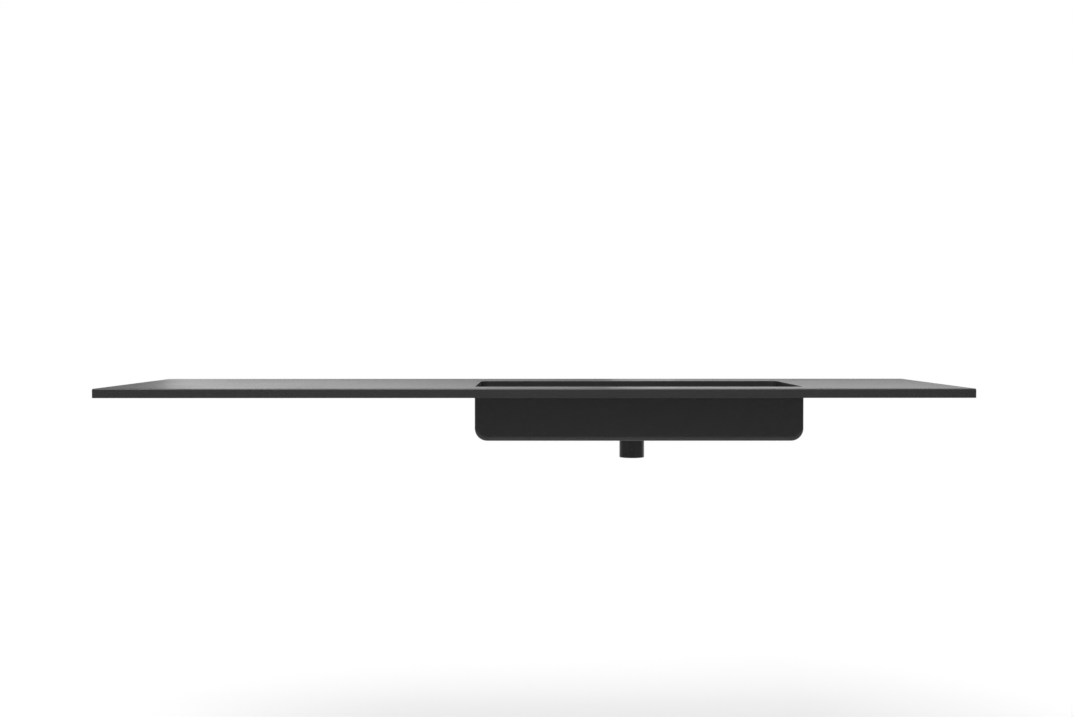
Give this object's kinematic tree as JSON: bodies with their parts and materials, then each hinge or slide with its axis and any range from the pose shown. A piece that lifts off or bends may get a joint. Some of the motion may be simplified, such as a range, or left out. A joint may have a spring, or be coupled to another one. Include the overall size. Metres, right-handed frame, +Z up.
{
  "type": "washbasin",
  "caption": "Wide thin slab top with one rectangular bowl hung under a cut-out right of the middle, in dark anthracite solid surface, with a push-open waste and a short smooth outlet stub.",
  "frame": {"origin": "Middle of the slab's rear lower edge, where the underside meets the wall face.", "axes": "X runs to the right as seen from the front, Y runs towards the wall, Z is up. The front edge faces -Y."},
  "size_m": [1.6, 0.5, 0.1511],
  "materials": {
    "solid_surface": "satin anthracite solid surface",
    "adhesive": "cured seam adhesive, coloured to match",
    "rubber": "black EPDM",
    "black_metal": "matt black powder coat",
    "brass": "turned brass",
    "stainless_steel": "drawn stainless steel",
    "black_plastic": "moulded black polypropylene",
    "white_plastic": "moulded acetal"
  },
  "bodies": {
    "basin": {"countertop": "solid_surface", "bond_seam": "adhesive", "bowl": "solid_surface", "flange_seal": "rubber", "waste_body": "black_metal", "under_washer": "rubber", "slip_washer": "white_plastic", "back_nut": "brass", "tail_seal": "rubber", "tail_pipe": "black_plastic", "cartridge_barrel": "white_plastic", "barrel_nut": "brass", "guide_cap": "white_plastic", "return_spring": "stainless_steel"},
    "plug": {"plug_cap": "black_metal", "plug_seal": "rubber", "plug_lock_nut": "brass", "plunger": "brass"},
    "index_ring": {"index_ring": "white_plastic", "index_pins": "stainless_steel"}
  },
  "joints": [
    {"name": "plug_travel", "type": "slide", "parent": "basin", "child": "plug", "axis": [0, 0, 1], "range_m": [-0.009, 0], "stiffness_N_per_m": 600, "springref_m": 0.006, "deforming": ["return_spring"]},
    {"name": "index_turn", "type": "hinge", "parent": "basin", "child": "index_ring", "pos_m": [0.197, -0.21, -0.09215], "axis": [0, 0, 1], "range_deg": [0, 45.01]}
  ],
  "couplings": [
    {"joint": "index_turn", "follows": "plug_travel", "rad_per_m": -87.266}
  ]
}
